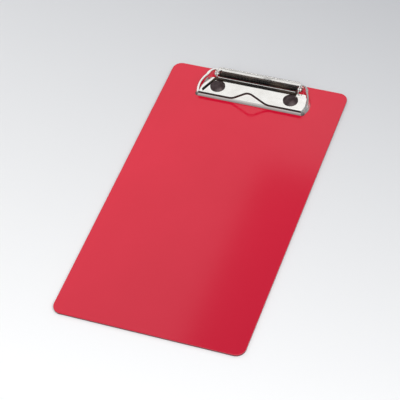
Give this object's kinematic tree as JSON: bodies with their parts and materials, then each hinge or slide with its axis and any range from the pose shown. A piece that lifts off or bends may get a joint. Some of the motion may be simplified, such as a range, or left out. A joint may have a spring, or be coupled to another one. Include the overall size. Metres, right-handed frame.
{
  "type": "clipboard",
  "caption": "Narrow plastic clipboard with rounded corners and a low sprung metal clip hinged at the top edge.",
  "frame": {"origin": "centre of the board's underside", "axes": "+X across the board, +Y along the board towards the clip, +Z out of the writing face"},
  "size_m": [0.12, 0.22, 0.012],
  "materials": {
    "board_plastic": "glossy translucent red",
    "nickel_sheet": "bright nickel plate",
    "strip_dark": "black lacquer on a thin strip",
    "steel_rod": "drawn steel",
    "spring_wire": "oil-tempered dark wire",
    "rivet_dark": "dark brown satin"
  },
  "bodies": {
    "board_body": {"board": "board_plastic", "base_plate": "nickel_sheet", "hinge_rod": "steel_rod", "torsion_spring": "spring_wire", "rivet_cap_left": "rivet_dark", "rivet_cap_right": "rivet_dark", "rivet_stud_left": "rivet_dark", "rivet_stud_right": "rivet_dark"},
    "lever_body": {"clamp_lever": "nickel_sheet", "jaw_strip": "strip_dark"}
  },
  "joints": [
    {"name": "lever_hinge", "type": "hinge", "parent": "board_body", "child": "lever_body", "pos_m": [0, 0.1041, 0.0039], "axis": [-1, 0, 0], "range_deg": [0, 25], "stiffness_Nm_per_rad": 0.2, "springref_deg": -34.38, "deforming": ["torsion_spring"]}
  ]
}
